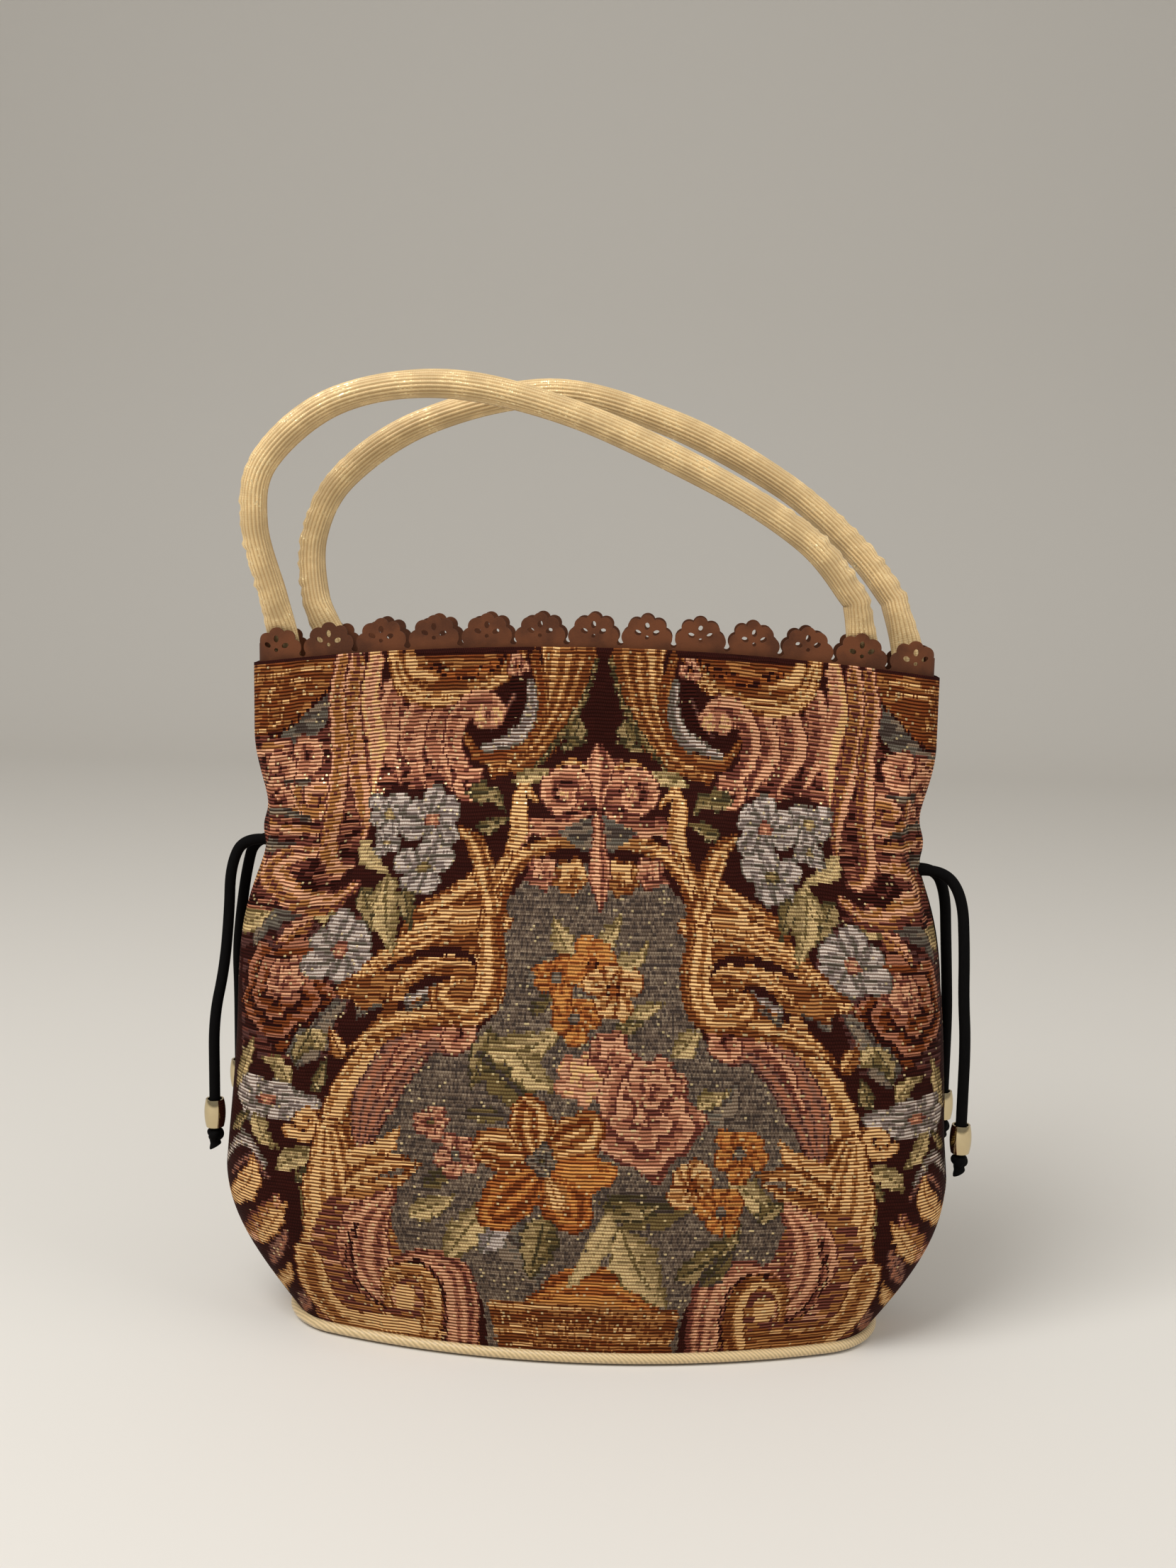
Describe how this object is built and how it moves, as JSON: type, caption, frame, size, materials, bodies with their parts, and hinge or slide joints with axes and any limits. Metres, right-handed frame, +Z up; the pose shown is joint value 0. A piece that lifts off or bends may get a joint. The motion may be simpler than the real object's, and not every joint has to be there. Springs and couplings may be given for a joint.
{
  "type": "drawstring tapestry handbag",
  "caption": "Small woven tapestry handbag with a drawstring waist, padded gold tube handles, scalloped brown trim at the mouth and beaded black cord ends.",
  "frame": {"origin": "middle of the base's underside", "axes": "+Z up towards the mouth and handles, +X to the right as seen from the front, front faces -Y"},
  "size_m": [0.2237, 0.074, 0.2744],
  "materials": {
    "tapestry": "woven floral tapestry with metallic threads",
    "gold_cloth": "ribbed pale gold cloth",
    "trim_leather": "matt brown with cut eyelets",
    "black_cord": "black satin cord",
    "bead_metal": "polished pale gold",
    "lining_cloth": "plain dark lining",
    "board": "stiff pulp board"
  },
  "bodies": {
    "bag": {"front_panel": "tapestry", "back_panel": "tapestry", "base_panel": "tapestry", "lining": "lining_cloth", "base_board": "board", "base_piping": "gold_cloth", "handle_front": "gold_cloth", "handle_back": "gold_cloth", "scalloped_trim": "trim_leather", "drawstring_left_loop": "black_cord", "drawstring_right_loop": "black_cord", "left_front_cord": "black_cord", "left_back_cord": "black_cord", "right_front_cord": "black_cord", "right_back_cord": "black_cord", "left_front_knot": "black_cord", "left_back_knot": "black_cord", "right_front_knot": "black_cord", "right_back_knot": "black_cord"},
    "bead_left_front": {"left_front_bead": "bead_metal"},
    "bead_left_back": {"left_back_bead": "bead_metal"},
    "bead_right_front": {"right_front_bead": "bead_metal"},
    "bead_right_back": {"right_back_bead": "bead_metal"}
  },
  "joints": [
    {"name": "left_front_bead_slide", "type": "slide", "parent": "bag", "child": "bead_left_front", "axis": [0, 0, 1], "range_m": [0, 0.015]},
    {"name": "left_back_bead_slide", "type": "slide", "parent": "bag", "child": "bead_left_back", "axis": [0, 0, 1], "range_m": [0, 0.015]},
    {"name": "right_front_bead_slide", "type": "slide", "parent": "bag", "child": "bead_right_front", "axis": [0, 0, 1], "range_m": [0, 0.015]},
    {"name": "right_back_bead_slide", "type": "slide", "parent": "bag", "child": "bead_right_back", "axis": [0, 0, 1], "range_m": [0, 0.015]}
  ]
}
